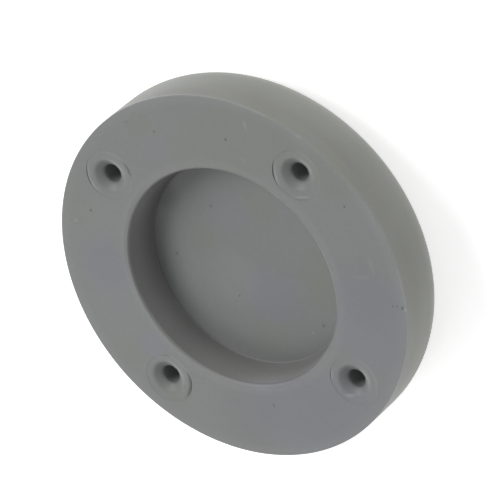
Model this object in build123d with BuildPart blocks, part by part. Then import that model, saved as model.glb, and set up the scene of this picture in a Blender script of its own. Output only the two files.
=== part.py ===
from build123d import *
import os

# Appliance foot: a round pad of solid grey rubber, moulded in one piece.
# It stands on its tread at Z = 0, and its mounting face points up.
# All sizes are in millimetres.

# Whole pad
outer_dia = 80.0
height = 17.0
tread_round = 8.0
face_edge_break = 0.35

# Recess in the mounting face
recess_mouth_dia = 48.0
recess_floor_dia = 45.5
recess_depth = 7.3
recess_mouth_round = 0.5
recess_floor_round = 0.6

# Pilot holes for the screws that hold the pad
hole_circle_dia = 64.0
hole_count = 4
hole_dia = 4.0
hole_depth = 12.0
lead_in_dia = 6.4
lead_in_angle = 90.0

# Round mark that the mould's core pin leaves about each hole
pin_mark_dia = 10.6
pin_mark_depth = 0.12

# Heights and places that follow from the sizes above
recess_floor_z = height - recess_depth
pin_mark_z = height - pin_mark_depth
first_hole_angle = 180 / hole_count
mounting_plane = Plane.XY.offset(height)
pin_mark_plane = Plane.XY.offset(pin_mark_z)

os.makedirs("parts", exist_ok=True)

with BuildPart() as foot:
    # Half section of the pad, turned about the upright axis
    with BuildSketch(Plane.XZ):
        with BuildLine():
            Polyline(
                (0, 0),
                (outer_dia / 2, 0),
                (outer_dia / 2, height),
                (recess_mouth_dia / 2, height),
                (recess_floor_dia / 2, recess_floor_z),
                (0, recess_floor_z),
                close=True,
            )
        make_face()
    revolve(axis=Axis.Z)

    # Rolled edge between the flank and the tread
    rings = foot.edges().filter_by(GeomType.CIRCLE)
    tread_edge = rings.group_by(Axis.Z)[0]
    fillet(tread_edge, tread_round)

    # Small breaks round the mounting face, at the mouth of the recess and in its corner
    rings = foot.edges().filter_by(GeomType.CIRCLE)
    face_rings = rings.group_by(Axis.Z)[-1].sort_by(SortBy.RADIUS)
    chamfer(face_rings[-1], face_edge_break)
    fillet(face_rings[0], recess_mouth_round)
    floor_corner = (
        foot.edges()
        .filter_by(GeomType.CIRCLE)
        .filter_by_position(Axis.Z, recess_floor_z, recess_floor_z)
    )
    fillet(floor_corner, recess_floor_round)

    # Core pin marks, sunk a little below the mounting face
    with BuildSketch(mounting_plane):
        with PolarLocations(hole_circle_dia / 2, hole_count, start_angle=first_hole_angle):
            Circle(pin_mark_dia / 2)
    extrude(amount=-pin_mark_depth, mode=Mode.SUBTRACT)

    # Blind pilot holes with a conical lead-in
    with Locations(pin_mark_plane):
        with PolarLocations(hole_circle_dia / 2, hole_count, start_angle=first_hole_angle):
            CounterSinkHole(
                radius=hole_dia / 2,
                counter_sink_radius=lead_in_dia / 2,
                depth=hole_depth,
                counter_sink_angle=lead_in_angle,
            )

foot.part.label = "foot"
export_step(foot.part, "parts/foot.step")
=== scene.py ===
import bmesh
import bpy
import math
from mathutils import Matrix, Vector


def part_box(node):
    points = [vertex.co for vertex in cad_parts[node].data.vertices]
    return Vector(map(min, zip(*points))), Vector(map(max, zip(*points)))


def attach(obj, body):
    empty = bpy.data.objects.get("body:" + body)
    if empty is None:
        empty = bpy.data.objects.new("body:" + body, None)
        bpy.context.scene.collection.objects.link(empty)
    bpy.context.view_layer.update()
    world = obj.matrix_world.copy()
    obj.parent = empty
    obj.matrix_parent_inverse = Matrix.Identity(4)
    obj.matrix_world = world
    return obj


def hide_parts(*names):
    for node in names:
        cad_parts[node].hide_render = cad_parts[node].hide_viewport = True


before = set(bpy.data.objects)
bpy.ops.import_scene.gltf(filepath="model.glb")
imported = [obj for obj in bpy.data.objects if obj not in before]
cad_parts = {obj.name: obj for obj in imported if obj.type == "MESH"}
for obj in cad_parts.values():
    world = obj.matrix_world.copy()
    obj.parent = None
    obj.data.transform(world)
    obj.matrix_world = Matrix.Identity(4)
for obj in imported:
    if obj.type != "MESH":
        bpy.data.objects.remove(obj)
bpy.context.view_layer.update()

# Foot
# One solid pad of grey rubber, pressed in a two-part mould. Its mounting face has a recess and four
# blind pilot holes. The mould's core pins leave a fine uneven ring about each hole.
mm = 0.001
foot_low, foot_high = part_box("foot")
face_z = foot_high.z
flank_radius = (foot_high.x - foot_low.x) / 2
tread_round = 8 * mm
edge_round = 0.1 * mm
rim_radius = 24 * mm
rim_round = 0.5 * mm
recess_depth = 7.3 * mm
floor_z = face_z - recess_depth
floor_radius = 22.75 * mm
corner_round = 0.15 * mm
face_band = 0.8 * mm
floor_band = 3 * mm
hole_circle_radius = 32 * mm
first_hole_angle = 45
turn_steps = 256
hole_steps = 96
tread_steps = 20
small_round_steps = 5
touching = 0.001 * mm

# Half section of the pad, from the middle of the recess floor round to the middle of the tread
half_section = [
    (0, floor_z),
    (floor_radius - floor_band, floor_z),
    (floor_radius, floor_z),
    (rim_radius, face_z),
    (rim_radius + face_band, face_z),
    (flank_radius - face_band, face_z),
    (flank_radius, face_z),
    (flank_radius, 0),
    (flank_radius - tread_round - floor_band, 0),
    (0, 0),
]

# Half section of the ring that a core pin leaves: radius and depth below the face in mm, and whether
# the row sinks further along the ring's deeper stretches
pin_ring = [
    (5.48, 0.00, False),
    (5.39, 0.02, True),
    (5.30, 0.02, True),
    (5.21, 0.04, False),
]

# Half section of the hole inside the ring, down its soft lead-in to the bore: radius and depth in mm
lead_in_and_bore = [
    (4.70, 0.05),
    (4.10, 0.06),
    (3.70, 0.09),
    (3.46, 0.16),
    (3.22, 0.29),
    (2.92, 0.49),
    (2.58, 0.74),
    (2.21, 1.02),
    (2.01, 1.25),
    (1.91, 1.55),
    (1.91, 12.1),
]

# Each hole: how far its ring is off centre in mm, then the ring's deeper stretches
# A stretch gives its direction and half width in degrees and its depth in mm
hole_marks = [
    ((0.00, 0.05), [(92, 58, 0.13), (285, 30, 0.13)]),
    ((-0.35, -0.10), [(248, 52, 0.23), (350, 14, 0.20)]),
    ((0.00, 0.00), [(75, 18, 0.11)]),
    ((-0.22, 0.20), [(82, 40, 0.24), (0, 26, 0.13), (176, 32, 0.13)]),
]

skin = bmesh.new()
corners = [skin.verts.new((radius, 0, z)) for radius, z in half_section]
sides = [skin.edges.new(pair) for pair in zip(corners, corners[1:])]
bmesh.ops.spin(
    skin, geom=corners + sides, cent=(0, 0, 0), axis=(0, 0, 1), dvec=(0, 0, 0),
    angle=math.tau, steps=turn_steps, use_merge=True, use_duplicate=False,
)
bmesh.ops.remove_doubles(skin, verts=skin.verts[:], dist=touching)


def edges_round(radius, z):
    return [
        edge for edge in skin.edges
        if all(abs(v.co.z - z) < touching and abs(v.co.xy.length - radius) < touching for v in edge.verts)
    ]


for radius, z, size, steps in [
    (flank_radius, 0, tread_round, tread_steps),
    (flank_radius, face_z, edge_round, small_round_steps),
    (rim_radius, face_z, rim_round, small_round_steps),
    (floor_radius, floor_z, corner_round, small_round_steps),
]:
    bmesh.ops.bevel(
        skin, geom=edges_round(radius, z), offset=size, offset_type="OFFSET", segments=steps,
        profile=0.5, affect="EDGES", clamp_overlap=True, material=-1,
    )

# The flat face is taken out between its two bands and laid again round the four holes
inner_radius = rim_radius + face_band
outer_radius = flank_radius - face_band
open_edges = edges_round(inner_radius, face_z) + edges_round(outer_radius, face_z)
flat_face = [
    face for face in skin.faces
    if all(
        abs(v.co.z - face_z) < touching
        and inner_radius - touching < v.co.xy.length < outer_radius + touching
        for v in face.verts
    )
]
bmesh.ops.delete(skin, geom=flat_face, context="FACES_ONLY")

hole_tops = []
for number, (shift, stretches) in enumerate(hole_marks):
    angle = math.radians(first_hole_angle) + number * math.tau / len(hole_marks)
    centre = Vector((math.cos(angle), math.sin(angle), 0)) * hole_circle_radius
    ring_centre = centre + Vector((shift[0] * mm, shift[1] * mm, face_z))
    circle = bmesh.ops.create_circle(
        skin, cap_ends=False, segments=hole_steps, radius=pin_ring[0][0] * mm,
        matrix=Matrix.Translation(ring_centre),
    )
    top_edges = list({edge for v in circle["verts"] for edge in v.link_edges})
    open_edges += top_edges
    hole_tops.append((centre, ring_centre, stretches, top_edges))
bmesh.ops.triangle_fill(skin, use_beauty=True, edges=open_edges)


def further_down(turn, stretches):
    deepest = 0
    for towards, half_width, depth in stretches:
        off = abs((turn - towards + 180) % 360 - 180) / half_width
        if off < 1:
            deepest = max(deepest, depth * math.cos(off * math.pi / 2) ** 2)
    return deepest


def add_row(edges, centre, next_centre, radius, depth, stretches):
    grown = bmesh.ops.extrude_edge_only(skin, edges=edges)["geom"]
    verts = {part for part in grown if isinstance(part, bmesh.types.BMVert)}
    for v in verts:
        direction = (v.co - centre).xy.normalized()
        turn = math.degrees(math.atan2(direction.y, direction.x))
        v.co.x = next_centre.x + direction.x * radius * mm
        v.co.y = next_centre.y + direction.y * radius * mm
        v.co.z = face_z - (depth + further_down(turn, stretches)) * mm
    return [
        part for part in grown
        if isinstance(part, bmesh.types.BMEdge) and all(v in verts for v in part.verts)
    ]


for centre, ring_centre, stretches, edges in hole_tops:
    for radius, depth, sinks in pin_ring[1:]:
        edges = add_row(edges, ring_centre, ring_centre, radius, depth, stretches if sinks else [])
    last_centre = ring_centre
    for radius, depth in lead_in_and_bore:
        edges = add_row(edges, last_centre, centre, radius, depth, [])
        last_centre = centre
    bmesh.ops.holes_fill(skin, edges=edges, sides=0)

bmesh.ops.remove_doubles(skin, verts=skin.verts[:], dist=touching)
bmesh.ops.recalc_face_normals(skin, faces=skin.faces[:])
for face in skin.faces:
    face.smooth = any(abs(v.co.z - face_z) > touching for v in face.verts)
foot_mesh = bpy.data.meshes.new("foot_skin")
skin.to_mesh(foot_mesh)
skin.free()
foot = bpy.data.objects.new("foot_skin", foot_mesh)
bpy.context.scene.collection.objects.link(foot)
shading = foot.modifiers.new("even_shading", "WEIGHTED_NORMAL")
shading.keep_sharp = True

# Mask of one small mark: 1 near its place, fading to 0 at its half sizes
small_mark = bpy.data.node_groups.new("small_mark", "ShaderNodeTree")
small_mark.interface.new_socket(name="Position", in_out="INPUT", socket_type="NodeSocketVector")
small_mark.interface.new_socket(name="Place", in_out="INPUT", socket_type="NodeSocketVector")
small_mark.interface.new_socket(name="Half Sizes", in_out="INPUT", socket_type="NodeSocketVector")
small_mark.interface.new_socket(name="Mask", in_out="OUTPUT", socket_type="NodeSocketFloat")
mark_in = small_mark.nodes.new("NodeGroupInput")
mark_out = small_mark.nodes.new("NodeGroupOutput")
offset = small_mark.nodes.new("ShaderNodeVectorMath")
offset.operation = "SUBTRACT"
scaled = small_mark.nodes.new("ShaderNodeVectorMath")
scaled.operation = "DIVIDE"
away = small_mark.nodes.new("ShaderNodeVectorMath")
away.operation = "LENGTH"
soft_edge = small_mark.nodes.new("ShaderNodeMapRange")
soft_edge.interpolation_type = "SMOOTHSTEP"
soft_edge.inputs["From Min"].default_value = 1.0
soft_edge.inputs["From Max"].default_value = 0.3
small_mark.links.new(mark_in.outputs["Position"], offset.inputs[0])
small_mark.links.new(mark_in.outputs["Place"], offset.inputs[1])
small_mark.links.new(offset.outputs["Vector"], scaled.inputs[0])
small_mark.links.new(mark_in.outputs["Half Sizes"], scaled.inputs[1])
small_mark.links.new(scaled.outputs["Vector"], away.inputs[0])
small_mark.links.new(away.outputs["Value"], soft_edge.inputs["Value"])
small_mark.links.new(soft_edge.outputs["Result"], mark_out.inputs["Mask"])

rubber = bpy.data.materials.new("foot_rubber")
rubber.use_nodes = True
nodes = rubber.node_tree.nodes
links = rubber.node_tree.links
shader = nodes["Principled BSDF"]
shader.inputs["Roughness"].default_value = 0.5
place = nodes.new("ShaderNodeTexCoord")

# Faint cloudy tone of the moulded rubber
cloud = nodes.new("ShaderNodeTexNoise")
cloud.inputs["Scale"].default_value = 55
cloud.inputs["Detail"].default_value = 3
cloud.inputs["Roughness"].default_value = 0.55
cloudy_grey = nodes.new("ShaderNodeMix")
cloudy_grey.data_type = "RGBA"
cloudy_grey.inputs["A"].default_value = (0.208, 0.215, 0.206, 1)
cloudy_grey.inputs["B"].default_value = (0.224, 0.229, 0.235, 1)
links.new(place.outputs["Object"], cloud.inputs["Vector"])
links.new(cloud.outputs["Fac"], cloudy_grey.inputs["Factor"])

# Fine grain, in the tone and in the surface
grain = nodes.new("ShaderNodeTexNoise")
grain.inputs["Scale"].default_value = 1400
grain.inputs["Detail"].default_value = 4
grain.inputs["Roughness"].default_value = 0.6
grain_tone = nodes.new("ShaderNodeMapRange")
grain_tone.inputs["To Min"].default_value = 0.93
grain_tone.inputs["To Max"].default_value = 1.07
grain_bump = nodes.new("ShaderNodeBump")
grain_bump.inputs["Strength"].default_value = 0.25
grain_bump.inputs["Distance"].default_value = 0.02 * mm
links.new(place.outputs["Object"], grain.inputs["Vector"])
links.new(grain.outputs["Fac"], grain_tone.inputs["Value"])
links.new(grain.outputs["Fac"], grain_bump.inputs["Height"])
links.new(grain_bump.outputs["Normal"], shader.inputs["Normal"])


def calculate(operation, *values):
    node = nodes.new("ShaderNodeMath")
    node.operation = operation
    for socket, value in zip(node.inputs, values):
        if isinstance(value, bpy.types.NodeSocket):
            links.new(value, socket)
        else:
            socket.default_value = value
    return node.outputs[0]


# Where a point lies on the pad, in mm: its place, how far it is in from the flank, how far out from the
# rim of the recess and how far below the face
face_mm = face_z / mm
floor_mm = floor_z / mm
recess_mm = recess_depth / mm
place_mm = nodes.new("ShaderNodeVectorMath")
place_mm.operation = "SCALE"
place_mm.inputs["Scale"].default_value = 1 / mm
flat_place = nodes.new("ShaderNodeVectorMath")
flat_place.operation = "MULTIPLY"
flat_place.inputs[1].default_value = (1, 1, 0)
from_axis = nodes.new("ShaderNodeVectorMath")
from_axis.operation = "LENGTH"
coordinates = nodes.new("ShaderNodeSeparateXYZ")
links.new(place.outputs["Object"], place_mm.inputs[0])
links.new(place_mm.outputs["Vector"], flat_place.inputs[0])
links.new(flat_place.outputs["Vector"], from_axis.inputs[0])
links.new(place_mm.outputs["Vector"], coordinates.inputs["Vector"])
in_from_flank = calculate("SUBTRACT", flank_radius / mm, from_axis.outputs["Value"])
out_from_rim = calculate("SUBTRACT", from_axis.outputs["Value"], rim_radius / mm)
below_face = calculate("SUBTRACT", face_mm, coordinates.outputs["Z"])


# Mask of a zone that follows the pad's own form. Each span says what is measured, where the mask starts
# to rise from 0 and where it is full.
def zone(*spans):
    mask = 1.0
    for measure, start, full in spans:
        span = nodes.new("ShaderNodeMapRange")
        span.interpolation_type = "SMOOTHSTEP"
        span.inputs["From Min"].default_value = start
        span.inputs["From Max"].default_value = full
        links.new(measure, span.inputs["Value"])
        mask = calculate("MULTIPLY", span.outputs["Result"], mask)
    return mask


def add_within(total, mask, amount):
    return calculate("MULTIPLY_ADD", mask, amount, total)


# Marks lie at one level of the pad and show for their reach above and below it. Each has its place
# across the pad and its half sizes in mm, and then the amount that it adds.
def add_marks(total, level, reach, marks):
    for x, y, half_x, half_y, amount in marks:
        spot = nodes.new("ShaderNodeGroup")
        spot.node_tree = small_mark
        spot.inputs["Place"].default_value = (x, y, level)
        spot.inputs["Half Sizes"].default_value = (half_x, half_y, reach)
        links.new(place_mm.outputs["Vector"], spot.inputs["Position"])
        total = add_within(total, spot.outputs["Mask"], amount)
    return total


# Single specks, scuffs and a chip: paler or, below zero, darker. Two pale marks on the face are painted
# highlights, and one broad dark patch on the floor is painted shade in its corner.
speck_reach = 0.5
face_specks_and_highlights = [
    (32.2, 8.6, 0.50, 0.50, -0.25),
    (30.3, -8.1, 0.50, 0.45, -0.45),
    (15.7, -31.7, 0.32, 0.32, -0.60),
    (15.0, 29.8, 0.45, 0.45, -0.45),
    (34.4, 14.6, 0.35, 0.35, -0.30),
    (-5.9, -36.7, 0.40, 0.35, -0.30),
    (-6.0, -37.7, 0.40, 0.30, -0.30),
    (-6.3, -38.8, 0.55, 0.50, -0.42),
    (-6.8, -39.4, 0.60, 0.45, 0.35),
    # Painted highlights: a pale streak on the lead-in edge of one hole and one on the lower rim of
    # another hole's ring, where each catches the light
    (-25.9, -20.8, 0.60, 1.80, 0.30),
    (17.65, -22.5, 0.45, 2.40, 0.20),
    (-28.6, -1.6, 0.60, 0.35, -0.30),
    (25.7, -11.0, 1.40, 0.45, 0.08),
    (33.3, -13.6, 1.90, 0.50, 0.16),
    (12.7, 34.3, 0.60, 0.60, 0.18),
    (30.9, -25.3, 0.70, 0.70, 0.14),
    (2.8, -34.2, 3.00, 0.60, 0.08),
    (0.4, -31.0, 0.60, 3.60, 0.07),
    (-24.9, 0.0, 0.50, 2.50, 0.10),
]
floor_specks_and_corner_shade = [
    # Painted shade: a broad dark patch in the corner of the recess floor, under the wall, where shade
    # falls
    (15.4, 16.6, 5.0, 5.0, -0.22),
    (1.8, 17.4, 0.50, 0.50, -0.32),
    (12.4, 5.7, 0.55, 0.55, -0.22),
    (-7.7, 4.9, 0.95, 0.95, 0.10),
    (-7.7, 4.9, 0.45, 0.45, -0.50),
    (-14.2, -13.5, 0.50, 0.50, -0.35),
    (-15.8, -10.4, 0.42, 0.36, 0.30),
]
paleness = add_marks(grain_tone.outputs["Result"], face_mm, speck_reach, face_specks_and_highlights)
paleness = add_marks(paleness, floor_mm, speck_reach, floor_specks_and_corner_shade)

# Broad paler and darker areas of the face and of the recess floor, and, over the flank's whole height,
# painted light and shade
area_reach = 3.0
face_areas = [
    (3.0, 29.5, 8.0, 8.0, -0.05),
    (-28.5, -9.0, 9.0, 15.0, -0.05),
    (-31.0, 5.0, 9.0, 11.0, -0.045),
    (-4.0, -31.0, 12.0, 9.0, -0.045),
]
floor_areas = [(-3.8, 4.8, 9.0, 8.0, 0.09)]
flank_level = face_mm / 2
# Painted light and shade on the flank: paler or darker where light falls unevenly on it
flank_painted_light_and_shade = [
    (32.0, -24.0, 14.0, 14.0, 0.11),
    (-15.0, -37.0, 12.0, 12.0, 0.10),
    (4.0, -40.0, 8.0, 8.0, -0.05),
    (35.0, 19.0, 13.0, 13.0, -0.12),
]
paleness = add_marks(paleness, face_mm, area_reach, face_areas)
paleness = add_marks(paleness, floor_mm, area_reach, floor_areas)
paleness = add_marks(paleness, flank_level, flank_level, flank_painted_light_and_shade)

# Painted light on the outside: paler towards the tread, where light from the floor falls, and painted
# lighter or darker in places just under the face, where light falls unevenly
tread_painted_light = 0.26
under_edge_level = face_mm - 1.5
under_edge_painted_light_and_shade = [
    (29.0, -27.0, 14.0, 14.0, 0.09),
    (-14.0, -37.5, 11.0, 9.0, 0.09),
    (40.0, 2.0, 8.0, 12.0, -0.10),
]
flank = zone((in_from_flank, 1.4, 0.4), (below_face, 0.2, 0.8))
lower_part = zone((below_face, recess_mm + 0.4, recess_mm + 1.0))
outside = calculate("MAXIMUM", flank, lower_part)
towards_tread = calculate("MULTIPLY", outside, zone((below_face, 3.0, 11.0)))
painted_light_under_edge = add_marks(0.0, under_edge_level, area_reach, under_edge_painted_light_and_shade)
paleness = add_within(paleness, flank, painted_light_under_edge)
paleness = add_within(paleness, towards_tread, tread_painted_light)

# Painted light: the face is painted paler along its outer edge as a soft glow, with a painted highlight
# right along the edge, stronger in two places. The face is also worn faintly paler round the recess
painted_edge_glow = 0.16
painted_edge_highlight = 0.13
stretch_reach = 1.5
stronger_highlight_stretches = [
    (37.0, -17.0, 6.0, 6.0, 0.10),
    (-3.3, -39.9, 7.0, 5.0, 0.15),
]
rim_wear = 0.06
near_edge = zone((in_from_flank, 3.0, 0.0), (below_face, 1.2, 0.1))
at_edge = zone((in_from_flank, 0.35, 0.1), (below_face, 0.4, 0.15))
round_recess = zone((out_from_rim, 2.8, 1.2), (out_from_rim, -0.2, 0.5))
cloudy_edge_glow = calculate("MULTIPLY", cloud.outputs["Fac"], painted_edge_glow)
uneven_edge_highlight = add_marks(painted_edge_highlight, face_mm, stretch_reach, stronger_highlight_stretches)
paleness = add_within(paleness, near_edge, cloudy_edge_glow)
paleness = add_within(paleness, at_edge, uneven_edge_highlight)
paleness = add_within(paleness, round_recess, rim_wear)

# Painted shade on the rim of the recess: darker on one side along its rounding, and on the other side
# more faintly and a little beyond it
rim_painted_shade = [
    (12.0, -20.0, 30.0, 30.0, -0.30),
    (13.0, -20.6, 7.0, 7.0, -0.11),
    (-11.5, -22.0, 8.0, 8.0, -0.18),
]
faint_rim_painted_shade = [(12.0, 22.0, 16.0, 14.0, -0.16)]
on_rim = zone((out_from_rim, 0.65, 0.4), (below_face, 0.9, 0.4))
round_rim = zone((out_from_rim, 1.5, 0.9), (out_from_rim, -0.1, 0.2))
paleness = add_within(paleness, on_rim, add_marks(0.0, face_mm, area_reach, rim_painted_shade))
paleness = add_within(paleness, round_rim, add_marks(0.0, face_mm, area_reach, faint_rim_painted_shade))

# Painted light and shade on the recess wall: darker towards its floor on one side, lighter under its rim
# in two places, and three broad areas of it paler or darker over its whole depth.
wall_painted_shade = -0.24
painted_light_reach = 9.0
wall_painted_light_stretches = [
    (-22.0, -6.0, 15.0, 16.0, 0.31),
    (16.0, 17.5, 8.0, 8.0, 0.14),
]
wall_level = face_mm - recess_mm / 2
wall_reach = 12.0
wall_painted_light_and_shade = [
    (-22.0, 6.0, 14.0, 18.0, 0.14),
    (16.8, 16.0, 8.0, 8.0, 0.10),
    (0.0, 23.0, 12.0, 7.0, -0.09),
]
on_wall = zone((out_from_rim, -1.8, -1.4), (out_from_rim, 0.6, 0.3))
low_on_one_side = zone((below_face, 1.5, recess_mm), (coordinates.outputs["Y"], -9.0, 16.0))
high_on_wall = zone((below_face, 5.0, 0.8), (below_face, 0.3, 0.8))
shaded_low_wall = calculate("MULTIPLY", on_wall, low_on_one_side)
lit_high_wall = calculate("MULTIPLY", on_wall, high_on_wall)
paleness = add_within(paleness, shaded_low_wall, wall_painted_shade)
paleness = add_within(paleness, lit_high_wall, add_marks(0.0, face_mm, painted_light_reach, wall_painted_light_stretches))
paleness = add_within(paleness, on_wall, add_marks(0.0, wall_level, wall_reach, wall_painted_light_and_shade))

# Broad patches where the grey is a little bluer or, below zero, a little greener. The outside is browner
# and the recess wall a little redder.
added_blue = 0.10
added_red = 0.013
outside_brown = -0.9
wall_red = 0.033
face_tints = [
    (-9.0, -30.5, 15.0, 13.0, 1.0),
    (-29.0, -9.0, 13.0, 22.0, 1.0),
    (2.2, 30.2, 8.5, 8.0, 0.9),
    (-15.3, 24.0, 3.8, 3.8, 1.0),
    (28.5, 9.5, 4.5, 4.5, 0.6),
    (30.0, -11.0, 10.0, 22.0, -0.7),
    (23.0, -31.0, 9.0, 8.0, -0.6),
    (16.0, 33.0, 9.0, 6.0, -0.4),
    (34.0, 11.5, 5.0, 5.0, -0.5),
    (-17.0, 31.0, 5.0, 5.0, -0.5),
    (-26.0, 21.0, 5.0, 5.0, -0.5),
]
floor_tints = [
    (11.3, 1.7, 6.0, 6.0, 0.6),
    (-7.5, -3.4, 8.5, 9.0, 0.9),
    (-4.0, -15.5, 11.0, 5.5, -0.7),
    (13.0, -6.8, 6.0, 6.0, -0.6),
    (5.7, 10.6, 5.5, 5.5, -0.5),
    (-16.5, 0.2, 4.5, 6.0, -0.6),
]
blueness = add_marks(0.0, face_mm, area_reach, face_tints)
blueness = add_marks(blueness, floor_mm, area_reach, floor_tints)
red = add_within(add_within(1.0, on_wall, wall_red), blueness, added_red)
blue = add_within(1.0, add_within(blueness, outside, outside_brown), added_blue)

marked_grey = nodes.new("ShaderNodeVectorMath")
marked_grey.operation = "SCALE"
links.new(cloudy_grey.outputs["Result"], marked_grey.inputs[0])
links.new(paleness, marked_grey.inputs["Scale"])
tint = nodes.new("ShaderNodeCombineXYZ")
tint.inputs["Y"].default_value = 1.0
links.new(red, tint.inputs["X"])
links.new(blue, tint.inputs["Z"])
tinted_grey = nodes.new("ShaderNodeVectorMath")
tinted_grey.operation = "MULTIPLY"
links.new(marked_grey.outputs["Vector"], tinted_grey.inputs[0])
links.new(tint.outputs["Vector"], tinted_grey.inputs[1])
links.new(tinted_grey.outputs["Vector"], shader.inputs["Base Color"])

foot_mesh.materials.append(rubber)
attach(foot, "root")
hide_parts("foot")

# Floor
# A wide round sheet of white paper, laid flat under the pad. It adds enough of its own white to show
# white in the picture and still keeps the pad's soft shadow.
sheet_radius = 3.0
sheet_steps = 64
paper_white = (0.85, 0.85, 0.85, 1)
seen_glow = 0.65
sheet = bmesh.new()
bmesh.ops.create_circle(sheet, cap_ends=True, segments=sheet_steps, radius=sheet_radius)
floor_mesh = bpy.data.meshes.new("floor")
sheet.to_mesh(floor_mesh)
sheet.free()
floor = bpy.data.objects.new("floor", floor_mesh)
bpy.context.scene.collection.objects.link(floor)
paper = bpy.data.materials.new("floor_paper")
paper.use_nodes = True
paper_shader = paper.node_tree.nodes["Principled BSDF"]
paper_shader.inputs["Base Color"].default_value = paper_white
paper_shader.inputs["Roughness"].default_value = 0.9
paper_shader.inputs["Emission Color"].default_value = (1, 1, 1, 1)
ray = paper.node_tree.nodes.new("ShaderNodeLightPath")
reflected = paper.node_tree.nodes.new("ShaderNodeMath")
reflected.operation = "MAXIMUM"
glow = paper.node_tree.nodes.new("ShaderNodeMath")
glow.operation = "MULTIPLY_ADD"
glow.inputs[1].default_value = seen_glow
paper.node_tree.links.new(ray.outputs["Is Glossy Ray"], reflected.inputs[0])
paper.node_tree.links.new(ray.outputs["Is Transmission Ray"], reflected.inputs[1])
paper.node_tree.links.new(ray.outputs["Is Camera Ray"], glow.inputs[0])
paper.node_tree.links.new(reflected.outputs[0], glow.inputs[2])
paper.node_tree.links.new(glow.outputs[0], paper_shader.inputs["Emission Strength"])
floor_mesh.materials.append(paper)

# Light
# A pale room and four round soft lamps that face the pad: two high ones at the side and behind, and two
# low ones behind and in front, which show the flank and the rings.
room_light = 0.3
lamp_distance = 1.2
scene = bpy.context.scene
room = bpy.data.worlds.new("pale_room")
room.use_nodes = True
room.node_tree.nodes["Background"].inputs["Color"].default_value = (1, 1, 1, 1)
room.node_tree.nodes["Background"].inputs["Strength"].default_value = room_light
scene.world = room
# Each lamp's name, its direction round and above the pad in degrees, its width in metres and its watts
lamps = [
    ("side_lamp", 45, 45, 0.7, 7.0),
    ("back_lamp", 135, 45, 0.7, 2.1),
    ("low_back_lamp", 120, 12, 0.5, 3.6),
    ("low_front_lamp", 292, 12, 0.5, 3.1),
]
for name, round_angle, height_angle, width, watts in lamps:
    around = math.radians(round_angle)
    above = math.radians(height_angle)
    towards = Vector((
        math.cos(around) * math.cos(above),
        math.sin(around) * math.cos(above),
        math.sin(above),
    ))
    light = bpy.data.lights.new(name, "AREA")
    light.shape = "DISK"
    light.size = width
    light.energy = watts
    lamp = bpy.data.objects.new(name, light)
    facing = towards.to_track_quat("Z", "Y").to_matrix().to_4x4()
    lamp.matrix_world = Matrix.Translation(towards * lamp_distance) @ facing
    scene.collection.objects.link(lamp)

# Camera
# A long lens about a metre away looks down on the mounting face. It is turned about its own axis, so
# that the pad leans over in the picture.
azimuth = math.radians(32.63)
elevation = math.radians(47.11)
roll = math.radians(-130.89)
distance = 0.9717
lens_mm = 352.6
aim_right = 3.76 * mm
aim_up = 5.55 * mm
toward = Vector((
    math.sin(azimuth) * math.cos(elevation),
    -math.cos(azimuth) * math.cos(elevation),
    math.sin(elevation),
))
level_up = Vector((
    -math.sin(azimuth) * math.sin(elevation),
    math.cos(azimuth) * math.sin(elevation),
    math.cos(elevation),
))
up = Matrix.Rotation(roll, 3, toward) @ level_up
right = up.cross(toward)
aim = Vector((0, 0, face_z)) + right * aim_right + up * aim_up
camera_data = bpy.data.cameras.new("camera")
camera_data.lens = lens_mm
camera = bpy.data.objects.new("camera", camera_data)
turned = Matrix((right, up, toward)).transposed().to_4x4()
camera.matrix_world = Matrix.Translation(aim + toward * distance) @ turned
scene.collection.objects.link(camera)
scene.camera = camera
scene.view_settings.view_transform = "Standard"
